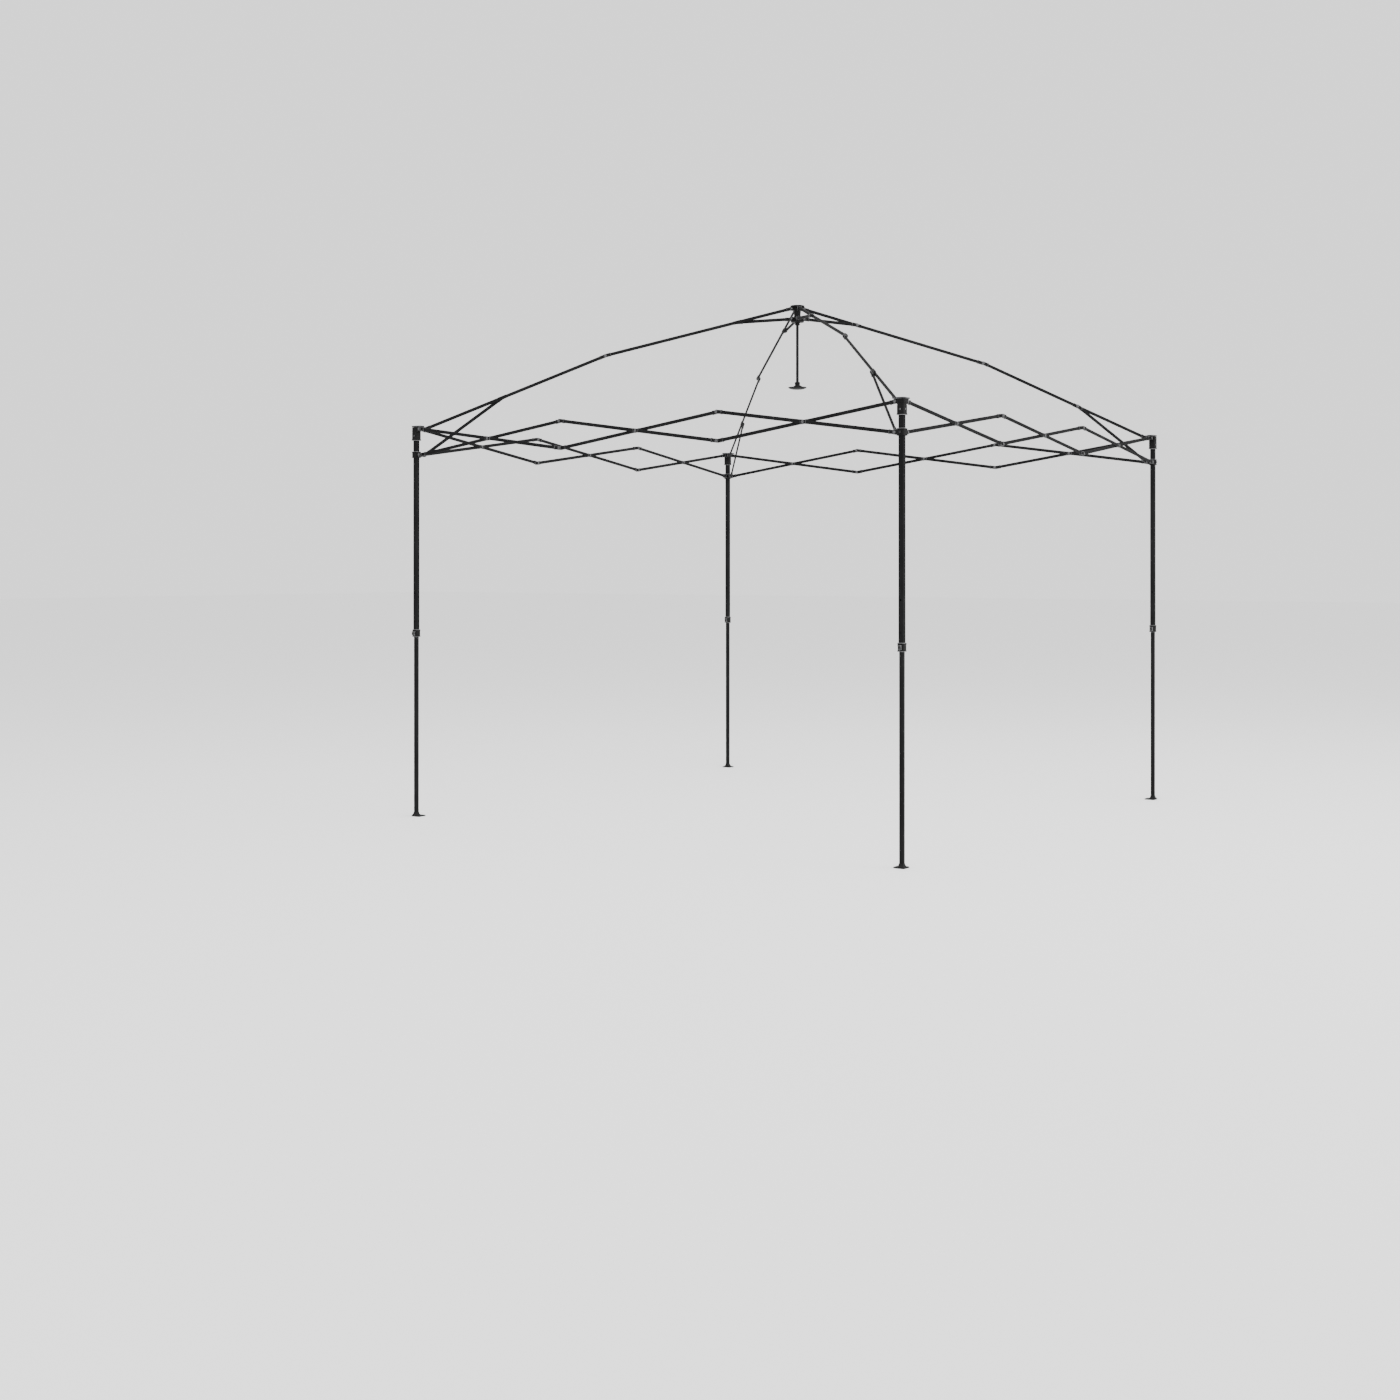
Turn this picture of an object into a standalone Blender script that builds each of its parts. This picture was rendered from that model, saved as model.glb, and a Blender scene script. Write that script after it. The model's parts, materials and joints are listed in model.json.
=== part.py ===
"""Pop up canopy frame: four telescoping legs, scissor trusses on four sides and a folding peak.

Run with: blender --background --python part.py
Metres, +Z up, standing on z = 0 with the centre of the frame on the origin.
Everything is modelled for the corner at (+X, +Y) and repeated at a quarter turn.
"""
import math

import bmesh
import bpy
from mathutils import Matrix, Vector

# ---------------------------------------------------------------- driving sizes
LEG_SPACING = 2.992          # leg axis to leg axis along a side
PIVOT_Z = 2.098              # top pivots of trusses and rafters
TRUSS_DROP = 0.140           # top pivot to slider pivot, frame open
TRUSS_INSET = 0.032          # truss pivot from the leg axis, along the side
RAFTER_INSET = 0.045         # rafter pivot from the leg axis, along the diagonal
CROSSES = 3                  # scissor crosses on each side
FOLDED_TRUSS = math.radians(84)      # angle of a truss bar when folded
FOLDED_PEAK = math.radians(86)       # peak rafter below level when folded

HUB_Z = 2.800                # pivots of the peak rafters on the hub
HUB_R = 0.035                # hub and runner pivots from the centre line
KNEE_R, KNEE_Z = 1.086, 2.515        # joint between the two rafters
HUB_STRUT_Q = 0.320          # hub pivot to strut pivot, along the peak rafter
RUNNER_DROP = 0.058          # hub pivot to runner pivot, frame open

BAR_H, BAR_T = 0.018, 0.009  # flat-oval bars: height and thickness
BAR_GAP = 0.0006             # between bars that lie side by side
PIN_R, HOLE_R = 0.0030, 0.0034
HEAD_R, HEAD_T = 0.0058, 0.0016
CLEAR = 0.0003               # clearance under a rivet head

LEG_W, LEG_WALL = 0.025, 0.0012      # outer tube
INNER_W, INNER_WALL = 0.020, 0.0011  # inner tube
LEG_TOP = 2.108
COLLAR_Z, COLLAR_H, COLLAR_W = 0.991, 0.035, 0.034
INNER_TOP = 1.150
HEIGHT_HOLES = (0.065, 0.213)        # above the collar centre
HEIGHT_HOLE_R = 0.004
FOOT_W, FOOT_T = 0.058, 0.005
FOOT_SHIFT = 0.012           # foot plate centre towards the middle of the frame
STAKE_R = 0.0055
STAKE_INSET = 0.025          # stake hole from the centre of the foot plate

SLEEVE_W = 0.036             # socket of the corner bracket, and the slider
SLEEVE_GAP = 0.0004
SLIDER_H = 0.032
SOCKET_BOTTOM = 2.037
CAP_BOTTOM, CAP_TOP = 2.1085, 2.1155
CAP_REACH = 0.045
BORE_TOP = 2.087             # inside end of the outer tube, under the bracket
LUG_R = 0.011                # round end of a lug about its pivot

BUTTON_W, BUTTON_H, BUTTON_D = 0.012, 0.014, 0.012
BUTTON_PROUD = 0.006
BOSS_W, BOSS_H, BOSS_D = 0.018, 0.022, 0.008
POCKET_BACK = 0.0135         # pocket floor from the leg axis
POCKET_GAP = 0.0003

HUB_CORE = 0.040
HUB_CAP_R, HUB_CAP_T = 0.040, 0.010
CROWN_Z = 2.820              # top of the hub cap
RUNNER_CORE = 0.040
PLUNGER_R = 0.0185           # post on the runner that meets the hub when the frame is open
FLANGE_R, FLANGE_T = 0.037, 0.007    # plate under the runner's lugs
FLANGE_GAP = 0.001           # between the plate and the lugs
POLE_R, POLE_BOTTOM = 0.008, 2.376
SOCKET_R, SOCKET_DEPTH = 0.013, 0.022
DISC_R, DISC_T, DISC_Z = 0.052, 0.014, 2.346
DISC_BOSS_R, DISC_BOSS_H = 0.015, 0.028

MARGIN = 0.010               # how far a cutter runs past the face it opens
SIDES = 16                   # facets of the round plastic parts
PIN_SIDES = 8
BAR_END_SIDES = 12

STEEL = {"colour": (0.013, 0.013, 0.014, 1), "roughness": 0.38, "metallic": 0.0}
PLASTIC = {"colour": (0.018, 0.018, 0.019, 1), "roughness": 0.52, "metallic": 0.0}

# ---------------------------------------------------------------- directions at the corner
UP = Vector((0, 0, 1))
ALONG = Vector((-1, 0, 0))           # this side runs from the corner towards -X
BACK = Vector((0, -1, 0))            # the side before it arrives from -Y
OUT = Vector((0, 1, 0))              # outward normal of this side
BACK_OUT = Vector((1, 0, 0))         # outward normal of the side before it
RADIAL = Vector((1, 1, 0)).normalized()
ACROSS = Vector((-1, 1, 0)).normalized()     # square to the diagonal plane
LOCK_FACES = Vector((-1, 0, 0))      # the buttons of all four height locks face this way
LANE = (BAR_T + BAR_GAP) / 2                 # half the distance between side-by-side bars

LEG = Vector((LEG_SPACING / 2, LEG_SPACING / 2, 0))
LEG_R = LEG.length


def at(radius, height):
    """A point of the diagonal plane."""
    return RADIAL * radius + UP * height


# ---------------------------------------------------------------- linkage, open
SPAN = (LEG_SPACING - 2 * TRUSS_INSET) / CROSSES         # width of one scissor cross
TRUSS_L = math.hypot(SPAN, TRUSS_DROP)
TRUSS_ANGLE = math.atan2(TRUSS_DROP, SPAN)
RAFTER_PIVOT = at(LEG_R - RAFTER_INSET, PIVOT_Z)
KNEE = at(KNEE_R, KNEE_Z)
HUB_PIVOT = at(HUB_R, HUB_Z)
EAVE_ANGLE = math.atan2(KNEE_Z - PIVOT_Z, LEG_R - RAFTER_INSET - KNEE_R)
PEAK_ANGLE = math.atan2(HUB_Z - KNEE_Z, KNEE_R - HUB_R)

# Folded, the rafters bring the legs as close together as the trusses do.
EAVE_L = (KNEE - RAFTER_PIVOT).length
PEAK_L = (KNEE - HUB_PIVOT).length
FOLDED_SPACING = 2 * TRUSS_INSET + CROSSES * TRUSS_L * math.cos(FOLDED_TRUSS)
FOLDED_REACH = (FOLDED_SPACING / math.sqrt(2) - RAFTER_INSET - HUB_R
                - PEAK_L * math.cos(FOLDED_PEAK))
FOLDED_EAVE = math.acos(FOLDED_REACH / EAVE_L)       # above level

# The lower strut keeps its length both open and folded.
FOLDED_DROP = TRUSS_L * math.sin(FOLDED_TRUSS)
STRUT_A = (FOLDED_DROP ** 2 - TRUSS_DROP ** 2) / (
    2 * (FOLDED_DROP * math.sin(FOLDED_EAVE) + TRUSS_DROP * math.sin(EAVE_ANGLE)))
STRUT_TOP = RAFTER_PIVOT + (KNEE - RAFTER_PIVOT).normalized() * STRUT_A
STRUT_FOOT = RAFTER_PIVOT - UP * TRUSS_DROP
STRUT_ANGLE = math.atan2(STRUT_TOP.z - STRUT_FOOT.z, STRUT_A * math.cos(EAVE_ANGLE))
FOLDED_STRUT = math.atan2(FOLDED_DROP - STRUT_A * math.sin(FOLDED_EAVE),
                          STRUT_A * math.cos(FOLDED_EAVE))

# So does the strut between the runner and the peak rafter.
RUNNER_PIVOT = HUB_PIVOT - UP * RUNNER_DROP
HUB_STRUT_TOP = HUB_PIVOT + (KNEE - HUB_PIVOT).normalized() * HUB_STRUT_Q
HUB_STRUT_L = (HUB_STRUT_TOP - RUNNER_PIVOT).length
HUB_STRUT_ANGLE = math.atan2(HUB_STRUT_TOP.z - RUNNER_PIVOT.z,
                             HUB_STRUT_Q * math.cos(PEAK_ANGLE))
FOLDED_HUB_STRUT = math.acos(HUB_STRUT_Q * math.cos(FOLDED_PEAK) / HUB_STRUT_L)
FOLDED_RUNNER_DROP = (HUB_STRUT_Q * math.sin(FOLDED_PEAK)
                      + HUB_STRUT_L * math.sin(FOLDED_HUB_STRUT))

# How far each kind of piece turns from open to folded, in radians, and the runner slides, in metres.
FOLD_TRAVEL = {
    "peak_rafter": FOLDED_PEAK - PEAK_ANGLE,
    "eave_rafter": EAVE_ANGLE + FOLDED_EAVE,
    "truss_bar": FOLDED_TRUSS - TRUSS_ANGLE,
    "rafter_strut": FOLDED_STRUT - STRUT_ANGLE,
    "hub_strut": FOLDED_HUB_STRUT - HUB_STRUT_ANGLE,
    "runner": FOLDED_RUNNER_DROP - RUNNER_DROP,
}


def truss_point(step, top):
    """Pivot number 0 to 3 along this side, in the top or the bottom row."""
    return LEG + ALONG * (TRUSS_INSET + step * SPAN) + UP * (PIVOT_Z - (0 if top else TRUSS_DROP))


# ---------------------------------------------------------------- solids
def cylinder(centre, axis, radius, length, sides=SIDES):
    """A closed cylinder as a bmesh, centred on a point."""
    bm = bmesh.new()
    turn = axis.to_track_quat("Z", "Y").to_matrix().to_4x4()
    bmesh.ops.create_cone(bm, cap_ends=True, segments=sides, radius1=radius, radius2=radius,
                          depth=length, matrix=Matrix.Translation(centre) @ turn)
    return bm


def box(centre, size, turn=0.0):
    """A closed box as a bmesh, turned about Z."""
    bm = bmesh.new()
    scale = Matrix.Diagonal((*size, 1))
    place = Matrix.Translation(centre) @ Matrix.Rotation(turn, 4, "Z")
    bmesh.ops.create_cube(bm, size=1, matrix=place @ scale)
    return bm


def hull(*solids):
    """The convex hull of several solids, as a new bmesh."""
    bm = bmesh.new()
    for solid in solids:
        for vert in solid.verts:
            bm.verts.new(vert.co)
        solid.free()
    found = bmesh.ops.convex_hull(bm, input=bm.verts)
    loose = {item for item in found["geom_interior"] + found["geom_unused"]
             if isinstance(item, bmesh.types.BMVert)}
    bmesh.ops.delete(bm, geom=list(loose), context="VERTS")
    bmesh.ops.dissolve_limit(bm, angle_limit=math.radians(1), verts=bm.verts, edges=bm.edges)
    return bm


def to_object(name, bm, collection):
    """Put a bmesh in an object of its own."""
    mesh = bpy.data.meshes.new(name)
    bm.to_mesh(mesh)
    bm.free()
    obj = bpy.data.objects.new(name, mesh)
    collection.objects.link(obj)
    return obj


def carve(name, solids, cutters=()):
    """Join the solids, take the cutters away and return the resulting mesh."""
    work = bpy.data.collections[WORKSHOP]
    base = to_object(name, solids[0], work)
    helpers = [base]
    for operation, group in (("UNION", solids[1:]), ("DIFFERENCE", cutters)):
        for bm in group:
            helper = to_object("tool", bm, work)
            helper.hide_render = True
            helper.display_type = "WIRE"
            step = base.modifiers.new("step", "BOOLEAN")
            step.operation = operation
            step.solver = "EXACT"
            step.object = helper
            helpers.append(helper)
    bpy.context.view_layer.update()
    mesh = bpy.data.meshes.new_from_object(base.evaluated_get(bpy.context.evaluated_depsgraph_get()))
    for helper in helpers:
        bpy.data.objects.remove(helper)
    return mesh


def finish(name, look):
    """A Principled material with the part's colour and gloss."""
    material = bpy.data.materials.new(name + "_finish")
    material.use_nodes = True
    shader = material.node_tree.nodes["Principled BSDF"]
    shader.inputs["Base Color"].default_value = look["colour"]
    shader.inputs["Roughness"].default_value = look["roughness"]
    shader.inputs["Metallic"].default_value = look["metallic"]
    return material


def add_part(name, mesh, origin, look, parent=None):
    """Make a named part whose origin is on its joint's axis."""
    mesh = mesh.copy()
    mesh.name = name
    mesh.transform(Matrix.Translation(-origin))
    mesh.materials.clear()
    mesh.materials.append(finish(name, look))
    mesh.shade_smooth()
    mesh.set_sharp_from_angle(angle=math.radians(35))
    part = bpy.data.objects.new(name, mesh)
    part.location = origin
    part.parent = parent
    bpy.data.collections[PART].objects.link(part)
    return part


# ---------------------------------------------------------------- bars and rivets
def bar(start, end, side, lane, rivets=(), holes=()):
    """A flat bar with round ends between two pivots.

    side is the pivots' direction and lane the bar's place along it. A rivet is
    (point, reach): it leaves the bar towards reach, through its neighbour, and
    ends in a head there. A hole is a point that a neighbour's rivet goes through.
    """
    shift = side * lane
    ends = [cylinder(point + shift, side, BAR_H / 2, BAR_T, BAR_END_SIDES) for point in (start, end)]
    return carve("bar", [hull(*ends)] + [rivet(point + shift, reach) for point, reach in rivets],
                 [cylinder(point + shift, side, HOLE_R, BAR_T * 2, PIN_SIDES) for point in holes])


def rivet(middle, reach):
    """A rivet from the middle of its own bar through the bar beside it."""
    head_at = BAR_T * 1.5 + BAR_GAP + CLEAR
    overlap = HEAD_T / 2
    shaft = cylinder(middle + reach * (head_at + overlap) / 2, reach, PIN_R, head_at + overlap,
                     PIN_SIDES)
    head = cylinder(middle + reach * (head_at + HEAD_T / 2), reach, HEAD_R, HEAD_T, PIN_SIDES)
    return join(shaft, head)


def join(*solids):
    """Union of overlapping solids, as a bmesh."""
    mesh = carve("joined", list(solids))
    bm = bmesh.new()
    bm.from_mesh(mesh)
    bpy.data.meshes.remove(mesh)
    return bm


def truss_meshes():
    """The six bars of one side: three that fall away from the corner and three that rise."""
    meshes = {}
    last = CROSSES - 1
    for step in range(CROSSES):
        high, low = truss_point(step, True), truss_point(step + 1, False)
        middle = (high + low) / 2
        ends = [high, middle] if step == last else [high, middle, low]
        meshes[f"a{step + 1}"] = (bar(high, low, OUT, LANE, holes=ends),
                                  {0: high, 1: truss_point(1, True)}.get(step, middle))
        foot, top = truss_point(step, False), truss_point(step + 1, True)
        pins = [foot, middle] if step == last else [foot, middle, top]
        origin = foot if step == last else middle
        meshes[f"b{step + 1}"] = (bar(foot, top, OUT, -LANE, rivets=[(p, OUT) for p in pins]), origin)
    return meshes


def rafter_meshes():
    """Eave and peak rafters, the strut to the slider and the strut to the runner."""
    eave = bar(KNEE, RAFTER_PIVOT, ACROSS, -LANE, rivets=[(KNEE, ACROSS)], holes=[RAFTER_PIVOT])
    peak = bar(HUB_PIVOT, KNEE, ACROSS, LANE, holes=[HUB_PIVOT, KNEE])
    strut = bar(STRUT_FOOT, STRUT_TOP, ACROSS, -3 * LANE, holes=[STRUT_FOOT])
    hub_strut = bar(RUNNER_PIVOT, HUB_STRUT_TOP, ACROSS, -LANE, holes=[RUNNER_PIVOT])
    return {"eave_rafter": (eave, KNEE), "peak_rafter": (peak, HUB_PIVOT),
            "rafter_strut": (strut, STRUT_FOOT), "hub_strut": (hub_strut, RUNNER_PIVOT)}


# ---------------------------------------------------------------- legs
def lug(core, pivot, side, lane):
    """A plate from inside a plastic body out to a round end about a pivot."""
    shift = side * lane
    root = Vector((core.x, core.y, pivot.z))
    return hull(cylinder(root + shift, side, LUG_R, BAR_T, BAR_END_SIDES),
                cylinder(pivot + shift, side, LUG_R, BAR_T, BAR_END_SIDES))


def corner_bracket():
    """Socket, cap and four lugs that hold the truss and the rafter at the top of a leg."""
    cap_thick = CAP_TOP - CAP_BOTTOM
    cap_size = SLEEVE_W / 2 + CAP_REACH
    cap_middle = (CAP_REACH - SLEEVE_W / 2) / 2
    cap_z = UP * (CAP_BOTTOM + CAP_TOP) / 2
    socket = box(LEG + UP * (SOCKET_BOTTOM + CAP_TOP) / 2,
                 (SLEEVE_W, SLEEVE_W, CAP_TOP - SOCKET_BOTTOM))
    arm = box(LEG + ALONG * cap_middle + cap_z, (cap_size, SLEEVE_W, cap_thick))
    back_arm = box(LEG + BACK * cap_middle + cap_z, (SLEEVE_W, cap_size, cap_thick))
    truss_pivot = truss_point(0, True)
    back_pivot = LEG + BACK * TRUSS_INSET + UP * PIVOT_Z
    lugs = [lug(LEG, truss_pivot, OUT, -LANE), lug(LEG, back_pivot, BACK_OUT, LANE),
            lug(LEG, RAFTER_PIVOT, ACROSS, LANE)]
    pins = [rivet(truss_pivot - OUT * LANE, OUT), rivet(RAFTER_PIVOT + ACROSS * LANE, -ACROSS)]
    return [socket, arm, back_arm] + lugs + pins


def lock_box(side, start, end, width, height):
    """A box at the height lock, from start to end away from the leg axis towards side."""
    middle = LEG + side * (start + end) / 2 + UP * COLLAR_Z
    return box(middle, (end - start, width, height), math.atan2(side.y, side.x))


def outer_leg(side):
    """Upper tube with its corner bracket and the collar of the height lock.

    side is the way the lock's button faces.
    """
    bottom = COLLAR_Z - COLLAR_H / 2
    tube = box(LEG + UP * (bottom + LEG_TOP) / 2, (LEG_W, LEG_W, LEG_TOP - bottom))
    collar = box(LEG + UP * COLLAR_Z, (COLLAR_W, COLLAR_W, COLLAR_H))
    boss_end = COLLAR_W / 2 + BOSS_D
    boss = lock_box(side, 0, boss_end, BOSS_W, BOSS_H)
    bore_w = LEG_W - 2 * LEG_WALL
    bore = box(LEG + UP * (bottom - MARGIN + BORE_TOP) / 2,
               (bore_w, bore_w, BORE_TOP - bottom + MARGIN))
    pocket = lock_box(side, POCKET_BACK, boss_end + MARGIN, BUTTON_W + 2 * POCKET_GAP,
                      BUTTON_H + 2 * POCKET_GAP)
    holes = [cylinder(LEG + side * LEG_W / 2 + UP * (COLLAR_Z + rise), side, HEIGHT_HOLE_R,
                      LEG_W / 2, PIN_SIDES) for rise in HEIGHT_HOLES]
    return carve("outer_leg", [tube, collar, boss] + corner_bracket(), [bore, pocket] + holes)


def lock_button(side):
    """Push button of the height lock, in its pocket in the collar."""
    face = COLLAR_W / 2 + BOSS_D + BUTTON_PROUD
    return carve("button", [lock_box(side, face - BUTTON_D, face, BUTTON_W, BUTTON_H)])


def inner_leg():
    """Lower tube welded to its foot plate, which has a hole for a stake."""
    tube = box(LEG + UP * INNER_TOP / 2, (INNER_W, INNER_W, INNER_TOP))
    plate_at = LEG - (RADIAL * FOOT_SHIFT) + UP * FOOT_T / 2
    plate = box(plate_at, (FOOT_W, FOOT_W, FOOT_T))
    bore_w = INNER_W - 2 * INNER_WALL
    bore = box(LEG + UP * (FOOT_T * 2 + INNER_TOP + MARGIN) / 2,
               (bore_w, bore_w, INNER_TOP + MARGIN - FOOT_T * 2))
    hole = cylinder(plate_at - RADIAL * STAKE_INSET, UP, STAKE_R, FOOT_T * 4, PIN_SIDES)
    return carve("inner_leg", [plate, tube], [bore, hole])


def slider():
    """Sleeve that runs on the leg, with lugs for two truss bars and the strut."""
    middle = truss_point(0, False)
    core = Vector((LEG.x, LEG.y, middle.z))
    sleeve = box(core, (SLEEVE_W, SLEEVE_W, SLIDER_H))
    back_pivot = core + BACK * TRUSS_INSET
    lugs = [lug(core, middle, OUT, LANE), lug(core, back_pivot, BACK_OUT, -LANE),
            lug(core, STRUT_FOOT, ACROSS, -LANE)]
    pin = rivet(STRUT_FOOT - ACROSS * LANE, -ACROSS)
    bore_w = LEG_W + 2 * SLEEVE_GAP
    bore = box(core, (bore_w, bore_w, SLIDER_H * 2))
    hole = cylinder(middle + OUT * LANE, OUT, HOLE_R, BAR_T * 2, PIN_SIDES)
    return carve("slider", [sleeve] + lugs + [pin], [bore, hole])


# ---------------------------------------------------------------- hub
def quarter_turns(make):
    """Four copies of a solid about the centre line."""
    solids = []
    for quarter in range(4):
        bm = make()
        bmesh.ops.transform(bm, matrix=Matrix.Rotation(quarter * math.pi / 2, 4, "Z"), verts=bm.verts)
        solids.append(bm)
    return solids


def peak_hub():
    """Cap and core at the peak, with a lug and a pin for each rafter."""
    bottom = HUB_Z - LUG_R
    core = box(UP * (bottom + CROWN_Z) / 2, (HUB_CORE, HUB_CORE, CROWN_Z - bottom - CLEAR), math.pi / 4)
    cap = cylinder(UP * (CROWN_Z - HUB_CAP_T / 2), UP, HUB_CAP_R, HUB_CAP_T)
    lugs = quarter_turns(lambda: lug(Vector(), HUB_PIVOT, ACROSS, -LANE))
    pins = quarter_turns(lambda: rivet(HUB_PIVOT - ACROSS * LANE, ACROSS))
    return carve("peak_hub", [core, cap] + lugs + pins)


def runner():
    """Lower hub that the push pole raises, with a lug and a pin for each strut."""
    z = RUNNER_PIVOT.z
    flange_top = z - LUG_R - FLANGE_GAP
    flange = cylinder(UP * (flange_top - FLANGE_T / 2), UP, FLANGE_R, FLANGE_T, 2 * SIDES)
    core_bottom = flange_top - FLANGE_T / 2
    core = box(UP * (core_bottom + z + LUG_R) / 2,
               (RUNNER_CORE, RUNNER_CORE, z + LUG_R - core_bottom), math.pi / 4)
    socket_bottom = z - LUG_R - SOCKET_DEPTH
    socket = cylinder(UP * (socket_bottom + z) / 2, UP, SOCKET_R, z - socket_bottom)
    plunger_top = HUB_Z - LUG_R - CLEAR
    plunger = cylinder(UP * (z + plunger_top) / 2, UP, PLUNGER_R, plunger_top - z)
    lugs = quarter_turns(lambda: lug(Vector((0, 0, z)), RUNNER_PIVOT, ACROSS, LANE))
    pins = quarter_turns(lambda: rivet(RUNNER_PIVOT + ACROSS * LANE, -ACROSS))
    bore_top = z - LUG_R
    bore = cylinder(UP * (socket_bottom - MARGIN + bore_top) / 2, UP, POLE_R + CLEAR,
                    bore_top - socket_bottom + MARGIN)
    return carve("runner", [core, flange, socket, plunger] + lugs + pins, [bore])


def push_pole():
    """Round pole between the runner and the push disc."""
    top = RUNNER_PIVOT.z - LUG_R - CLEAR
    return carve("push_pole", [cylinder(UP * (POLE_BOTTOM + top) / 2, UP, POLE_R, top - POLE_BOTTOM)])


def push_disc():
    """Disc that a hand or a palm pushes up, with a socket for the pole."""
    boss_top = DISC_Z + DISC_T + DISC_BOSS_H
    disc = cylinder(UP * (DISC_Z + DISC_T / 2), UP, DISC_R, DISC_T, 2 * SIDES)
    boss = cylinder(UP * (DISC_Z + boss_top) / 2, UP, DISC_BOSS_R, boss_top - DISC_Z)
    bore_bottom = POLE_BOTTOM - CLEAR
    bore = cylinder(UP * (bore_bottom + boss_top + MARGIN) / 2, UP, POLE_R + CLEAR,
                    boss_top + MARGIN - bore_bottom)
    return carve("push_disc", [disc, boss], [bore])


# ---------------------------------------------------------------- assembly
PART, WORKSHOP = "pop_up_canopy", "workshop"


def clear_scene():
    """Empty the file and make the two collections."""
    for obj in list(bpy.data.objects):
        bpy.data.objects.remove(obj, do_unlink=True)
    for name in (PART, WORKSHOP):
        bpy.context.scene.collection.children.link(bpy.data.collections.new(name))


def quarter_empties():
    """One empty for each corner, turned a quarter from the last."""
    empties = []
    for quarter in range(4):
        empty = bpy.data.objects.new(f"corner_{quarter + 1}", None)
        empty.rotation_euler.z = quarter * math.pi / 2
        bpy.data.collections[PART].objects.link(empty)
        empties.append(empty)
    return empties


def build():
    """Make every part of the frame."""
    clear_scene()
    bpy.context.scene["fold_travel"] = FOLD_TRAVEL
    corner_parts = {"inner_leg": (inner_leg(), LEG, STEEL),
                    "slider": (slider(), truss_point(0, False), PLASTIC)}
    for name, (mesh, origin) in rafter_meshes().items():
        corner_parts[name] = (mesh, origin, STEEL)
    for name, (mesh, origin) in truss_meshes().items():
        corner_parts[f"truss_bar_{name}"] = (mesh, origin, STEEL)
    for empty in quarter_empties():
        number = empty.name[-1]
        for name, (mesh, origin, look) in corner_parts.items():
            add_part(f"{name}_{number}", mesh, origin, look, empty)
        side = Matrix.Rotation(-empty.rotation_euler.z, 3, "Z") @ LOCK_FACES
        add_part(f"outer_leg_{number}", outer_leg(side), RAFTER_PIVOT, STEEL, empty)
        add_part(f"leg_lock_button_{number}", lock_button(side), LEG + UP * COLLAR_Z, PLASTIC, empty)
    add_part("peak_hub", peak_hub(), UP * HUB_Z, PLASTIC)
    add_part("runner", runner(), UP * RUNNER_PIVOT.z, PLASTIC)
    add_part("push_pole", push_pole(), UP * RUNNER_PIVOT.z, STEEL)
    add_part("push_disc", push_disc(), UP * DISC_Z, PLASTIC)


build()
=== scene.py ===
"""Looks of the pop up canopy frame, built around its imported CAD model.

As in the CAD, each piece is made for the corner at (+X, +Y) and repeated at a quarter turn.
"""
import json
import math

import bmesh
import bpy
from mathutils import Matrix, Vector


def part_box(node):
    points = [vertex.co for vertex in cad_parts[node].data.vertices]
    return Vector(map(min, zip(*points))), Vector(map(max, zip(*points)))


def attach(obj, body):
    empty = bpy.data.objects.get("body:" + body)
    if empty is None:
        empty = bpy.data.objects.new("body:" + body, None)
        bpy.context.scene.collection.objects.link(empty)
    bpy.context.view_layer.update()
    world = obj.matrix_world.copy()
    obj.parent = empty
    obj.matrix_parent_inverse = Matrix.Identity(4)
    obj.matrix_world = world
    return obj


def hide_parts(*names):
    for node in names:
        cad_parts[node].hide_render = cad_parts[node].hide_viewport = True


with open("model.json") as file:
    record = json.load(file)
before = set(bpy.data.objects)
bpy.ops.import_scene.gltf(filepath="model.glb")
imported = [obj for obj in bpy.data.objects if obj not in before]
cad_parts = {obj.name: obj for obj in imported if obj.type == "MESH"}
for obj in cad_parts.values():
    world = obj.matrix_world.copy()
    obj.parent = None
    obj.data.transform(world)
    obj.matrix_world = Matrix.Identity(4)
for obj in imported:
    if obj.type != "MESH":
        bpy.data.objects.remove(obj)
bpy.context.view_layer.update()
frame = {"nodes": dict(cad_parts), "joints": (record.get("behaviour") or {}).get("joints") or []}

# ---------------------------------------------------------------- sizes, in metres
BAR_H, BAR_T = 0.0178, 0.0086        # flat-oval steel tube
LANE = 0.0048                        # bars side by side lie at odd multiples of this
FITTING_R = 0.0098                   # round end of a bar's plastic end fitting
FITTING_LONG = 0.031                 # its mouth from the pivot
FITTING_IN, FITTING_OUT = 0.0046, 0.0058     # faces towards and away from the bar beside it
RIM, RIM_WIDE, RIM_LIP = 0.0011, 0.0036, 0.0004      # rim round its mouth: height, width, overhang
SADDLE_LONG, CROSS_SADDLE_LONG = 0.024, 0.017        # half lengths of the bands at a rivet
TUBE_INSET = 0.004                   # end of a tube from its pivot, inside the fitting
LUG_R = 0.011                        # round end of a moulding's lug
LUG_IN, LUG_OUT = 0.0003, 0.0093     # a lug's faces from the plane between two lanes
CHEEK_IN, CHEEK_OUT = 0.0117, 0.0145         # thin cheek on the far side of a fitting
RIVET_R, RIVET_HEAD_R, RIVET_DOME = 0.0030, 0.0056, 0.0021
WASHER_R, WASHER_T = 0.0078, 0.0009

RAFTER_INSET = 0.045                 # rafter pivot to leg axis, along the diagonal
LEG_HALF, LEG_ROUND, LEG_WALL = 0.0125, 0.0030, 0.0012
INNER_HALF, INNER_ROUND, INNER_WALL = 0.0100, 0.0025, 0.0011
HEIGHT_HOLES = (0.065, 0.213)        # above the collar's middle
HEIGHT_HOLE_R = 0.0040
STAKE_R, STAKE_INSET = 0.0055, 0.025         # hole in the foot plate, and how far off centre

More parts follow.
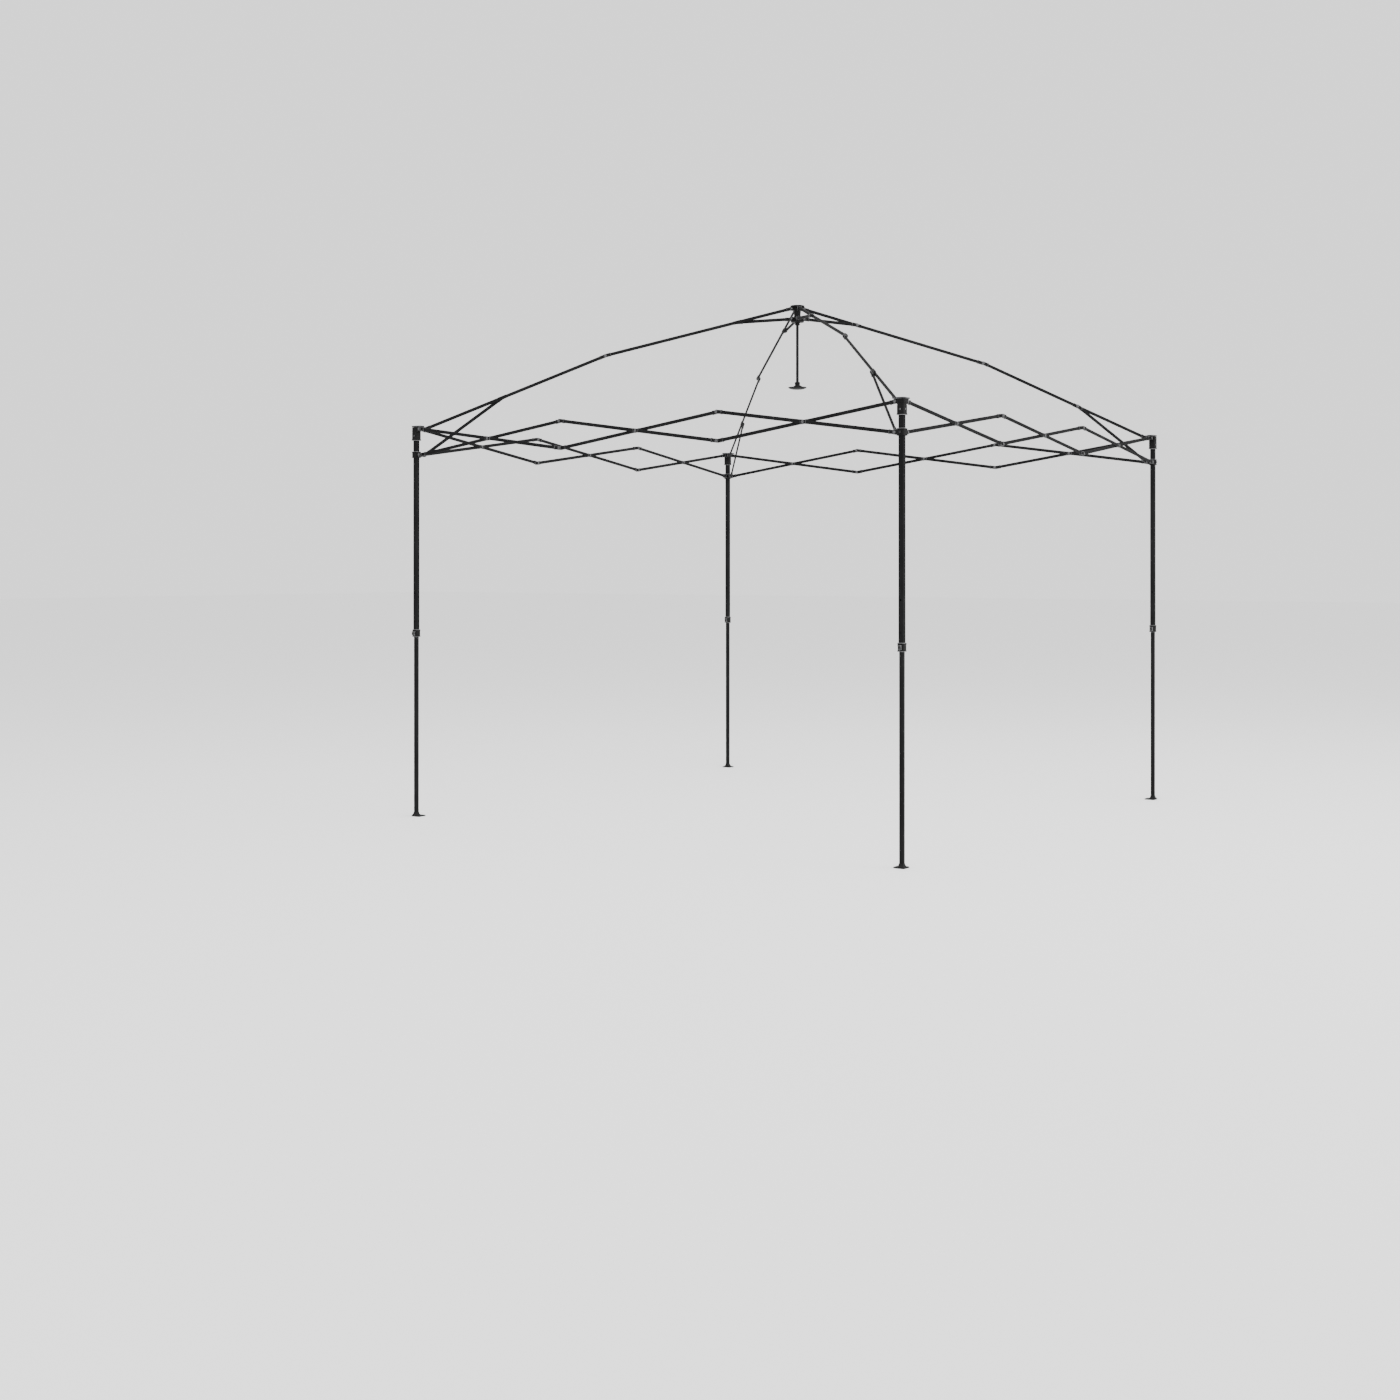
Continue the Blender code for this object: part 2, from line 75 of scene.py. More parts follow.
SOCKET_HALF, SOCKET_DROP = 0.0180, 0.061     # corner bracket: half width, and foot below the pivots
SHOULDER_DROP, RIB_PITCH = 0.019, 0.0068     # its first rib below the pivots, and rib to rib
WINDOW_RISE, WINDOW_FACE = 0.0235, 0.0172    # its screw pockets: height, and floor from the leg axis
CAP_THICK = 0.0068
CAP_HALF, CAP_NECK, CAP_REACH = 0.0184, 0.0320, 0.0420
COLLAR_HALF, COLLAR_RIM = 0.0158, 0.0170
SLIDER_HALF, SLIDER_RIM = 0.0176, 0.0196
HUB_CORE_HALF = 0.0200
POLE_R, POLE_BORE = 0.0080, 0.0083

PLAY = 0.0004                        # between a moulding and the tube inside it
PROUD = 0.0001                       # from a moulding's face to the rivet head on it
PAST = 0.01                          # how far a cutter runs past the end that it opens
BORE_REACH = 0.03                    # half the length of a cutter through a sleeve
WELD = 0.00002                       # gaps that are closed after a boolean
BEVEL_ANGLE = math.radians(30)       # edges sharper than this are rounded
SHARP_ANGLE = math.radians(35)       # edges sharper than this are shaded sharp

# ---------------------------------------------------------------- places, from the frame
UP = Vector((0, 0, 1))
ALONG, BACK = Vector((-1, 0, 0)), Vector((0, -1, 0))     # the two sides that meet at the corner
OUT, BACK_OUT = Vector((0, 1, 0)), Vector((1, 0, 0))     # their outward normals
RADIAL = Vector((1, 1, 0)).normalized()
ACROSS = Vector((-1, 1, 0)).normalized()
LOCK_FACES = Vector((-1, 0, 0))

pivots = {joint["name"]: Vector(joint["pos_m"]) for joint in frame["joints"] if "pos_m" in joint}
CORNER = pivots["corner_1_hinge"]
KNEE = pivots["knee_1_hinge"]
HUB = pivots["canopy_fold"]
STRUT_FOOT = pivots["rafter_strut_1_hinge"]
RUNNER = pivots["hub_strut_1_hinge"]
TRUSS_TOP = pivots["truss_1_a1_hinge"]
TRUSS_FOOT = pivots["slider_1_hinge"]
CROSSES = [pivots[f"truss_1_cross_{number}"] for number in (1, 2, 3)]
AXIS = Vector((CORNER.x, CORNER.y, 0)) + RADIAL * RAFTER_INSET      # of the leg at the corner


def far_end(node, pivot):
    """The other pivot of a plain CAD bar, from its mesh."""
    points = [vert.co for vert in frame["nodes"][node].data.vertices]
    middle = sum(points, Vector()) / len(points)
    along = middle - pivot
    along -= ACROSS * along.dot(ACROSS)
    along.normalize()
    return pivot + along * (max((point - pivot).dot(along) for point in points) - BAR_H / 2)


STRUT_TOP = far_end("rafter_strut_1", STRUT_FOOT)
HUB_STRUT_TOP = far_end("hub_strut_1", RUNNER)


# ---------------------------------------------------------------- solids
def finished(bm):
    """The same bmesh with its normals outward."""
    bmesh.ops.recalc_face_normals(bm, faces=bm.faces)
    return bm


def loft(rings):
    """A closed skin over rings that have the same number of points."""
    bm = bmesh.new()
    rows = [[bm.verts.new(point) for point in ring] for ring in rings]
    count = len(rows[0])
    for lower, upper in zip(rows, rows[1:]):
        for i in range(count):
            j = (i + 1) % count
            bm.faces.new((lower[i], lower[j], upper[j], upper[i]))
    bm.faces.new(rows[0])
    bm.faces.new(rows[-1])
    return finished(bm)


def turned(profile, place=Matrix(), steps=24):
    """A profile of (radius, height) pairs turned about local Z."""
    angles = [2 * math.pi * step / steps for step in range(steps)]
    return loft([[place @ Vector((r * math.cos(a), r * math.sin(a), z)) for a in angles]
                 for r, z in profile])


def prism(outline, place, low, high):
    """A flat outline in local X and Z, from low to high along local Y."""
    return loft([[place @ Vector((x, y, z)) for x, z in outline] for y in (low, high)])


def block(low, high, place=Matrix()):
    """A box between two corners."""
    low, high = Vector(low), Vector(high)
    bm = bmesh.new()
    size = Matrix.Diagonal((*(high - low), 1))
    bmesh.ops.create_cube(bm, size=1, matrix=place @ Matrix.Translation((low + high) / 2) @ size)
    return finished(bm)


def rounded_square(half, radius, steps):
    """Points of a square with round corners."""
    points = []
    for quarter in range(4):
        turn = quarter * math.pi / 2
        centre = Vector((half - radius, half - radius)).to_3d()
        for step in range(steps + 1):
            a = math.pi / 2 * step / steps
            corner = centre + Vector((radius * math.cos(a), radius * math.sin(a), 0))
            points.append(Matrix.Rotation(turn, 3, "Z") @ corner)
    return points


def square_post(place, levels, steps=4):
    """A post of round-cornered squares; levels are (height, half width, corner radius)."""
    return loft([[place @ (point + UP * z) for point in rounded_square(half, radius, steps)]
                 for z, half, radius in levels])


def arc(centre, radius, start, end, steps):
    """Points (x, z) along a circle, angles in degrees."""
    angles = [math.radians(start + (end - start) * step / steps) for step in range(steps + 1)]
    return [(centre[0] + radius * math.cos(a), centre[1] + radius * math.sin(a)) for a in angles]


def soften(bm, width, steps=2):
    """Round the sharp edges; their new faces get the pale edge colour, part wear and part painted
    highlight.
    """
    edges = [edge for edge in bm.edges if edge.calc_face_angle(0) > BEVEL_ANGLE]
    bmesh.ops.bevel(bm, geom=edges, offset=width, offset_type="OFFSET", segments=steps, profile=0.5,
                    affect="EDGES", clamp_overlap=True, material=1)
    return bm


def new_object(name, mesh):
    """An object in the scene for a mesh."""
    obj = bpy.data.objects.new(name, mesh)
    bpy.context.scene.collection.objects.link(obj)
    return obj


WORK_SLOTS = [bpy.data.materials.new(name) for name in ("work_face", "work_edge")]


def solid(parts, cuts=()):
    """One mesh from closed bmeshes, joined and then cut, with its rounded edges marked in an
    attribute for the pale edge colour of wear and painted highlight.
    """
    helpers = []
    for bm in (*parts, *cuts):
        mesh = bpy.data.meshes.new("work")
        bm.to_mesh(mesh)
        bm.free()
        for material in WORK_SLOTS:
            mesh.materials.append(material)
        helpers.append(new_object("work", mesh))
    base = helpers[0]
    for index, helper in enumerate(helpers[1:], start=1):
        step = base.modifiers.new("step", "BOOLEAN")
        step.operation = "UNION" if index < len(parts) else "DIFFERENCE"
        step.solver = "EXACT"
        step.object = helper
    bpy.context.view_layer.update()
    depsgraph = bpy.context.evaluated_depsgraph_get()
    mesh = bpy.data.meshes.new_from_object(base.evaluated_get(depsgraph))
    for helper in helpers:
        bpy.data.objects.remove(helper)
    clean = bmesh.new()
    clean.from_mesh(mesh)
    bmesh.ops.remove_doubles(clean, verts=clean.verts, dist=WELD)
    bmesh.ops.dissolve_degenerate(clean, dist=WELD, edges=clean.edges)
    clean.to_mesh(mesh)
    clean.free()
    edge = mesh.attributes.new("edge", "FLOAT", "FACE")
    edge.data.foreach_set("value", [float(face.material_index == 1) for face in mesh.polygons])
    mesh.polygons.foreach_set("material_index", [0] * len(mesh.polygons))
    mesh.materials.clear()
    return mesh


# ---------------------------------------------------------------- materials
class Nodes:
    """A short way to write a node tree."""

    def __init__(self, name):
        self.material = bpy.data.materials.new(name)
        self.material.use_nodes = True
        self.tree = self.material.node_tree
        self.shader = self.tree.nodes["Principled BSDF"]
        self.place = self.add("ShaderNodeTexCoord").outputs["Object"]

    def add(self, kind, **values):
        """A node with its properties and unlinked inputs set."""
        node = self.tree.nodes.new(kind)
        for key, value in values.items():
            if hasattr(node, key):
                setattr(node, key, value)
            else:
                node.inputs[key.replace("_", " ")].default_value = value
        return node

    def link(self, source, target):
        """Join an output to an input."""
        self.tree.links.new(source, target)

    def noise(self, scale, detail=3.0, stretch=None):
        """Noise over the piece, finer with a higher scale and stretched along one axis."""
        node = self.add("ShaderNodeTexNoise", Scale=scale, Detail=detail)
        place = self.place
        if stretch:
            mapping = self.add("ShaderNodeMapping", Scale=stretch)
            self.link(place, mapping.inputs["Vector"])
            place = mapping.outputs["Vector"]
        self.link(place, node.inputs["Vector"])
        return node.outputs["Fac"]

    def between(self, value, low, high, start=0.0, end=1.0):
        """Map value from start..end to low..high, held at the ends."""
        node = self.add("ShaderNodeMapRange", clamp=True)
        ends = {"From Min": start, "From Max": end, "To Min": low, "To Max": high}
        for name, number in ends.items():
            node.inputs[name].default_value = number
        self.link(value, node.inputs["Value"])
        return node.outputs["Result"]

    def blend(self, factor, first, second):
        """Mix two colours, each a tuple or an output."""
        node = self.add("ShaderNodeMix", data_type="RGBA")
        self.link(factor, node.inputs["Factor"])
        for name, colour in (("A", first), ("B", second)):
            socket = [item for item in node.inputs if item.name == name and item.type == "RGBA"][0]
            if isinstance(colour, tuple):
                socket.default_value = (*colour, 1)
            else:
                self.link(colour, socket)
        return [item for item in node.outputs if item.type == "RGBA"][0]

    def product(self, first, second):
        """Multiply two values."""
        node = self.add("ShaderNodeMath", operation="MULTIPLY")
        self.link(first, node.inputs[0])
        self.link(second, node.inputs[1])
        return node.outputs[0]

    def bump(self, height, distance, strength, under=None):
        """A bump over another one."""
        node = self.add("ShaderNodeBump", Strength=strength, Distance=distance)
        self.link(height, node.inputs["Height"])
        if under:
            self.link(under, node.inputs["Normal"])
        return node.outputs["Normal"]


def coated(name, base, wear_and_highlight_colour, rough, grain, grain_depth, wear_and_highlight_strength, specular):
    """Black finish: even colour with faint clouds, a grain, scuffs, and paler edges that are part
    rubbed wear and part painted highlight.
    """
    n = Nodes(name)
    clouds = n.between(n.noise(7.0, 4.0), 0.0, 1.0, 0.35, 0.65)
    lighter = tuple(channel * 1.45 for channel in base)
    colour = n.blend(clouds, base, lighter)
    # Paler colour on the rounded edges: part rubbed wear, part painted highlight.
    edge = n.add("ShaderNodeAttribute", attribute_name="edge").outputs["Fac"]
    patches = n.between(n.noise(160.0, 5.0), 0.25, 1.0, 0.38, 0.62)
    rubbed_and_highlit = n.between(n.product(edge, patches), 0.0, wear_and_highlight_strength)
    colour = n.blend(rubbed_and_highlit, colour, wear_and_highlight_colour)
    scuffs = n.between(n.noise(90.0, 6.0, stretch=(1.0, 1.0, 0.35)), 0.0, 0.35, 0.62, 0.74)
    colour = n.blend(scuffs, colour, tuple(channel * 4.5 for channel in base))
    n.link(colour, n.shader.inputs["Base Color"])
    n.link(n.between(n.noise(38.0, 4.0), rough - 0.06, rough + 0.08, 0.3, 0.7),
           n.shader.inputs["Roughness"])
    n.shader.inputs["Specular IOR Level"].default_value = specular
    peel = n.bump(n.noise(420.0, 2.0), 0.00012, 0.6)
    n.link(n.bump(n.noise(grain, 2.0), grain_depth, 0.8, under=peel), n.shader.inputs["Normal"])
    return n.material


def plated(name):
    """Dark zinc-plated rivets and bolts with fine turning marks."""
    n = Nodes(name)
    spots = n.between(n.noise(260.0, 3.0), 0.0, 1.0, 0.30, 0.75)
    colour = n.blend(spots, (0.085, 0.085, 0.088), (0.11, 0.11, 0.113))
    n.link(colour, n.shader.inputs["Base Color"])
    n.shader.inputs["Metallic"].default_value = 1.0
    n.link(n.between(n.noise(220.0, 3.0), 0.26, 0.48, 0.3, 0.7), n.shader.inputs["Roughness"])
    n.link(n.bump(n.noise(1400.0, 3.0), 0.00004, 0.6), n.shader.inputs["Normal"])
    return n.material


# Each finish's pale edge colour is part wear and part painted highlight.
STEEL = coated("black_powder_coat", base=(0.0074, 0.0075, 0.0078), wear_and_highlight_colour=(0.040, 0.041, 0.042),
               rough=0.54, grain=1500.0, grain_depth=0.00006, wear_and_highlight_strength=0.35, specular=0.03)
FOOT_STEEL = coated("black_powder_coat_worn_and_edge_highlit", base=(0.0066, 0.0066, 0.0068), wear_and_highlight_colour=(0.11, 0.105, 0.10),
                    rough=0.55, grain=1500.0, grain_depth=0.00008, wear_and_highlight_strength=0.75, specular=0.10)
PLASTIC = coated("black_moulded_plastic", base=(0.0062, 0.0062, 0.0064), wear_and_highlight_colour=(0.19, 0.192, 0.197),
                 rough=0.50, grain=2300.0, grain_depth=0.00010, wear_and_highlight_strength=1.0, specular=0.07)
# Grey plastic for the rings that paint light lines at the mouldings' rims: painted highlights.
HIGHLIGHT_RING_PLASTIC = coated("grey_highlight_ring_plastic", base=(0.16, 0.16, 0.165), wear_and_highlight_colour=(0.30, 0.30, 0.31),
                       rough=0.50, grain=2300.0, grain_depth=0.00008, wear_and_highlight_strength=0.6, specular=0.30)
BUTTON_PLASTIC = coated("black_button_plastic", base=(0.010, 0.010, 0.0105), wear_and_highlight_colour=(0.15, 0.15, 0.15),
                        rough=0.36, grain=2600.0, grain_depth=0.00005, wear_and_highlight_strength=0.45, specular=0.15)
RIVET_STEEL = plated("dark_plated_steel")


# ---------------------------------------------------------------- pieces
def piece(name, mesh, material, body, turn=0.0, stands_for=None):
    """Put a mesh in the scene at a quarter turn, riding on a CAD body."""
    mesh = mesh.copy()
    mesh.transform(Matrix.Rotation(turn, 4, "Z"))
    mesh.materials.append(material)
    mesh.shade_smooth()
    mesh.set_sharp_from_angle(angle=SHARP_ANGLE)
    obj = new_object(name, mesh)
    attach(obj, body)
    if stands_for:
        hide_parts(stands_for)


def at_corners(name, mesh, material, body, stands_for=None):
    """The same piece at all four corners."""
    for quarter in range(4):
        number = quarter + 1
        node = f"{stands_for}_{number}" if stands_for else None
        turn = quarter * math.pi / 2
        piece(f"{name}_{number}", mesh, material, f"{body}_{number}", turn, node)


def bar_place(start, end, side, lane):
    """Local X from start to end, local Y along side, local Z the bar's height."""
    x = (end - start).normalized()
    z = x.cross(side)
    return Matrix.Translation(start + side * lane) @ Matrix((x, side, z)).transposed().to_4x4()


def oval(half_h, half_t):
    """Section of a flat-oval tube as (y, z) pairs."""
    top = arc((0, half_h - half_t), half_t, 0, 180, 6)
    bottom = arc((0, half_t - half_h), half_t, 180, 360, 6)
    return top + bottom


def tube_mesh(start, end, side, lane):
    """A flat-oval tube between two pivots."""
    place = bar_place(start, end, side, lane)
    length = (end - start).length
    section = oval(BAR_H / 2, BAR_T / 2)
    stations = [TUBE_INSET] + [length * step / 8 for step in range(1, 8)] + [length - TUBE_INSET]
    return solid([loft([[place @ Vector((x, y, z)) for y, z in section] for x in stations])])


def fitting(pivot, other, side, lane, inward):
    """Plastic end of a bar: a sleeve with a rim at its mouth and a boss round the pivot."""
    long = FITTING_LONG
    place = bar_place(pivot, other, side, lane)
    near, far = inward * FITTING_IN, -inward * FITTING_OUT
    low, high = sorted((near, far))
    outline = arc((0, 0), FITTING_R, 90, 270, 10) + [(long, -FITTING_R), (long, FITTING_R)]
    sleeve = soften(prism(outline, place, low, high), 0.0010)
    rim_low, rim_high = sorted((near, far - inward * RIM))
    half = FITTING_R + RIM
    lip = long + RIM_LIP
    mouth = [(long - RIM_WIDE, -half), (lip, -half), (lip, half), (long - RIM_WIDE, half)]
    rim = soften(prism(mouth, place, rim_low, rim_high), 0.0008)
    face = place @ Matrix.Translation((0, far, 0)) @ Matrix.Rotation(inward * math.pi / 2, 4, "X")
    boss = turned([(0.0086, -0.002), (0.0086, 0.0004), (0.0080, 0.0008)], face, 20)
    start, stop, tall = 0.013, long - 0.009, 0.0060
    recess = [(start, -tall), (stop, -tall), (stop, tall), (start, tall)]
    pocket = prism(recess, place, *sorted((far + inward * 0.0009, far - inward * 0.002)))
    return [sleeve, rim, boss], [pocket]


def saddle(point, toward, side, lane, inward, long=SADDLE_LONG):
    """Band round a tube where another bar is riveted to it."""
    place = bar_place(point, toward, side, lane)
    low, high = sorted((inward * FITTING_IN, -inward * (FITTING_OUT - 0.0003)))
    half = FITTING_R - 0.0002
    outline = [(-long, -half), (long, -half), (long, half), (-long, half)]
    return soften(prism(outline, place, low, high), 0.0011)


def rivet(point, side, low, high, washers=True):
    """A rivet along side with a domed head and a washer at each end."""
    dome = [(RIVET_HEAD_R, 0), (RIVET_HEAD_R, 0.0005), (RIVET_HEAD_R * 0.9, 0.0012),
            (RIVET_HEAD_R * 0.62, 0.0018), (RIVET_HEAD_R * 0.25, RIVET_DOME)]
    seat = [(WASHER_R, 0), (WASHER_R, WASHER_T)] if washers else []
    lift = WASHER_T if washers else 0
    head = seat + [(r, z + lift) for r, z in dome]
    profile = [(r, low - z) for r, z in reversed(head)] + [(RIVET_R, low), (RIVET_R, high)]
    profile += [(r, high + z) for r, z in head]
    turn = side.to_track_quat("Z", "Y").to_matrix().to_4x4()
    return turned(profile, Matrix.Translation(point) @ turn, 16)


FACE = LANE + FITTING_OUT + 0.0010           # outer face of a fitting's boss from the mid plane
BAND_FACE = LANE + FITTING_OUT - 0.0002      # outer face of a saddle on a tube


def bar(name, body, start, end, side, lane, inward, rivets=(), band=None, band_finish=STEEL):
    """Tube, end fittings, band and rivets of one bar, at all four corners."""
    at_corners(name, tube_mesh(start, end, side, lane), STEEL, body, stands_for=body)
    parts, cuts = fitting(start, end, side, lane, inward)
    more_parts, more_cuts = fitting(end, start, side, lane, inward)
    for suffix, group, holes in (("near_end", parts, cuts), ("far_end", more_parts, more_cuts)):
        at_corners(f"{name}_{suffix}", solid(group, holes), PLASTIC, body)
    if band:
        at_corners(f"{name}_band", solid([band]), band_finish, body)
    for number, item in enumerate(rivets, start=1):
        at_corners(f"{name}_rivet_{number}", solid([rivet(*item)]), RIVET_STEEL, body)


def trusses():
    """Six bars on each side, with three crossings."""
    drop = UP * (TRUSS_TOP.z - TRUSS_FOOT.z)
    high, low = TRUSS_TOP, TRUSS_TOP - drop
    for number, cross in enumerate(CROSSES, start=1):
        next_high, next_low = 2 * cross - low, 2 * cross - high
        ends = [(low, OUT, -FACE, FACE)] if number > 1 else [(low, OUT, -FACE, CHEEK_OUT)]
        ends.append((cross, OUT, -BAND_FACE, BAND_FACE))
        if number < len(CROSSES):
            ends.append((next_high, OUT, -FACE, FACE))
        falling_band = saddle(cross, high, OUT, LANE, -1, CROSS_SADDLE_LONG)
        bar(f"truss_falling_{number}", f"truss_bar_a{number}", high, next_low, OUT, LANE, -1,
            band=falling_band, band_finish=PLASTIC)
        rising_band = saddle(cross, low, OUT, -LANE, 1, CROSS_SADDLE_LONG)
        bar(f"truss_rising_{number}", f"truss_bar_b{number}", low, next_high, OUT, -LANE, 1,
            rivets=ends, band=rising_band, band_finish=PLASTIC)
        high, low = next_high, next_low


def rafters():
    """Peak and eave rafters with their struts."""
    bar("peak_rafter_tube", "peak_rafter", HUB, KNEE, ACROSS, LANE, -1,
        band=saddle(HUB_STRUT_TOP, KNEE, ACROSS, LANE, -1))
    bar("eave_rafter_tube", "eave_rafter", KNEE, CORNER, ACROSS, -LANE, 1,
        rivets=[(KNEE, ACROSS, -FACE, FACE)], band=saddle(STRUT_TOP, CORNER, ACROSS, -LANE, -1))
    bar("rafter_strut_tube", "rafter_strut", STRUT_FOOT, STRUT_TOP, ACROSS, -3 * LANE, 1,
        rivets=[(STRUT_TOP, ACROSS, -FACE - 2 * LANE, -3 * LANE)])
    bar("hub_strut_tube", "hub_strut", RUNNER, HUB_STRUT_TOP, ACROSS, -LANE, 1,
        rivets=[(HUB_STRUT_TOP, ACROSS, -FACE, -LANE)])


# ---------------------------------------------------------------- plastic mouldings
def lug(core, pivot, side, near, far, pocket=True):
    """A lug from a moulding's core out to a round end about a pivot, between two offsets."""
    root = Vector((core.x, core.y, pivot.z))
    place = bar_place(pivot, root, side, 0)
    reach = (root - pivot).length
    outline = arc((0, 0), LUG_R, 90, 270, 10) + [(reach, -LUG_R), (reach, LUG_R)]
    body = soften(prism(outline, place, *sorted((near, far))), 0.0008)
    if not pocket:
        return [body], []
    deep = 0.004 if abs(far - near) > 0.006 else 0.0008
    start, stop, tall = 0.0085, reach - 0.004, LUG_R - 0.0032
    hollow = [(start, -tall), (stop, -tall), (stop, tall), (start, tall)]
    sign = 1 if far > near else -1
    return [body], [prism(hollow, place, *sorted((far - sign * deep, far + sign * 0.002)))]


def clevis(core, pivot, side, sign, cheek=True):
    """Thick lug on one side of a bar and a thin cheek on the other; sign is the lug's side."""
    parts, cuts = lug(core, pivot, side, sign * LUG_IN, sign * LUG_OUT)
    if cheek:
        more, _ = lug(core, pivot, side, -sign * CHEEK_IN, -sign * CHEEK_OUT, pocket=False)
        parts += more
    return parts, cuts


def bolt(point, normal):
    """Pan head of a screw on a face."""
    turn = normal.to_track_quat("Z", "Y").to_matrix().to_4x4()
    place = Matrix.Translation(point) @ turn
    profile = [(0.0052, -0.001), (0.0052, 0.0010), (0.0046, 0.0021), (0.0028, 0.0028)]
    long, wide, floor, above = 0.0035, 0.0006, 0.0012, 0.004
    slots = []
    for angle in (0.3, 0.3 + math.pi / 2):
        slot_place = place @ Matrix.Rotation(angle, 4, "Z")
        slots.append(block((-long, -wide, floor), (long, wide, above), slot_place))
    return solid([turned(profile, place, 18)], slots)


def highlight_ring(name, body, place, low, high, half):
    """Grey ring that paints the thin light line where a moulding meets its tube: a painted highlight.
    """
    edge, chamfer = half - 0.0006, 0.0004
    ring = square_post(place, [(low, edge, 0.0042), (low + chamfer, half, 0.0046),
                               (high - chamfer, half, 0.0046), (high, edge, 0.0042)])
    clear = LEG_HALF + PLAY
    bore = square_post(place, [(low - PAST, clear, LEG_ROUND), (high + PAST, clear, LEG_ROUND)])
    at_corners(name, solid([ring], [bore]), HIGHLIGHT_RING_PLASTIC, body)


def corner_brackets():
    """Socket, cap and clevises at the top of each leg."""
    _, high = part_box("outer_leg_1")
    top, z = high.z, TRUSS_TOP.z
    place = Matrix.Translation(AXIS)
    socket_low, shoulder = z - SOCKET_DROP, z - SHOULDER_DROP
    levels = [(socket_low, 0.0172, 0.0045), (socket_low + 0.001, SOCKET_HALF, 0.0050),
              (shoulder, SOCKET_HALF, 0.0050)]
    for rib in range(4):
        level = shoulder + 0.0012 + rib * RIB_PITCH
        levels += [(level, 0.0174, 0.0046), (level + 0.0030, 0.0174, 0.0046),
                   (level + 0.0036, 0.0187, 0.0052), (level + 0.0062, 0.0187, 0.0052)]
    core = square_post(place, levels)
    rim = square_post(place, [
        (socket_low - 0.0003, 0.0190, 0.0055), (socket_low + 0.0004, 0.0197, 0.0060),
        (socket_low + 0.0036, 0.0197, 0.0060), (socket_low + 0.0048, 0.0184, 0.0050)])
    half, neck, reach = CAP_HALF, CAP_NECK, CAP_REACH
    plan = [(half, half), (-reach, half), (-reach, -half), (-neck, -half), (-half, -neck),
            (-half, -reach), (half, -reach)]
    cap = loft([[place @ Vector((x, y, level)) for x, y in plan] for level in (top - CAP_THICK, top)])
    parts, cuts = [soften(cap, 0.0016, 3), core, rim], []
    back_pivot = AXIS + BACK * (AXIS - TRUSS_TOP).dot(BACK_OUT) + UP * z
    for pivot, side, sign, cheek in ((TRUSS_TOP, OUT, -1, True), (back_pivot, BACK_OUT, 1, True),
                                     (CORNER, ACROSS, 1, False)):
        more, holes = clevis(AXIS, pivot, side, sign, cheek)
        parts += more
        cuts += holes
    for side, across in ((OUT, BACK_OUT), (BACK_OUT, OUT)):
        window = Matrix.Translation(AXIS + UP * (socket_low + WINDOW_RISE)) @ Matrix(
            (across, side, UP)).transposed().to_4x4()
        cuts.append(block((-0.0115, WINDOW_FACE, -0.0125), (0.0115, 0.022, 0.0125), window))
    bore, bore_top = LEG_HALF - LEG_WALL / 2, z - 0.0105
    bore_levels = [(socket_low - PAST, bore, LEG_ROUND), (bore_top, bore, LEG_ROUND)]
    cuts.append(square_post(place, bore_levels))
    at_corners("corner_bracket", solid(parts, cuts), PLASTIC, "outer_leg")
    highlight_ring("bracket_highlight_ring", "outer_leg", place, socket_low - 0.0022, socket_low - 0.0003, 0.0190)
    for name, side in (("side", OUT), ("back", BACK_OUT)):
        screw = bolt(AXIS + side * WINDOW_FACE + UP * (socket_low + WINDOW_RISE), side)
        at_corners(f"bracket_screw_{name}", screw, RIVET_STEEL, "outer_leg")
    rivet_low, rivet_high = -LUG_OUT - PROUD, CHEEK_OUT + PROUD
    for name, item in (("truss", (TRUSS_TOP, OUT, rivet_low, rivet_high)),
                       ("back_truss", (back_pivot, BACK_OUT, -rivet_high, -rivet_low)),
                       ("rafter", (CORNER, ACROSS, -FACE, -rivet_low))):
        mesh = solid([rivet(*item)])
        at_corners(f"bracket_{name}_rivet", mesh, RIVET_STEEL, "outer_leg")


def legs():
    """Outer tubes with collars and lock buttons, inner tubes with feet."""
    low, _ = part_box("outer_leg_1")
    button_low, button_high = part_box("leg_lock_button_1")
    collar_z = (button_low.z + button_high.z) / 2
    _, inner_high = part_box("inner_leg_1")
    place = Matrix.Translation(AXIS)
    tube_low, tube_high = low.z + 0.006, TRUSS_TOP.z - 0.010
    for quarter in range(4):
        number = quarter + 1
        turn = quarter * math.pi / 2
        side = Matrix.Rotation(-turn, 3, "Z") @ LOCK_FACES
        body = f"outer_leg_{number}"
        outer_leg_tube(place, tube_low, tube_high, collar_z, side, turn, number)
        collar(place, collar_z, side, turn, number)
    foot, top = 0.004, inner_high.z
    inner = square_post(place, [(foot, INNER_HALF, INNER_ROUND), (top, INNER_HALF, INNER_ROUND)])
    hollow = INNER_HALF - INNER_WALL
    bore = square_post(place, [(0.012, hollow, 0.0015), (top + PAST, hollow, 0.0015)])
    at_corners("inner_leg_tube", solid([inner], [bore]), STEEL, "inner_leg",
               stands_for="inner_leg")
    highlight_ring("collar_highlight_ring_top", "outer_leg", place, collar_z + 0.0190, collar_z + 0.0208, 0.0166)
    highlight_ring("collar_highlight_ring_foot", "outer_leg", place, collar_z - 0.0192, collar_z - 0.0175, 0.0166)
    feet()


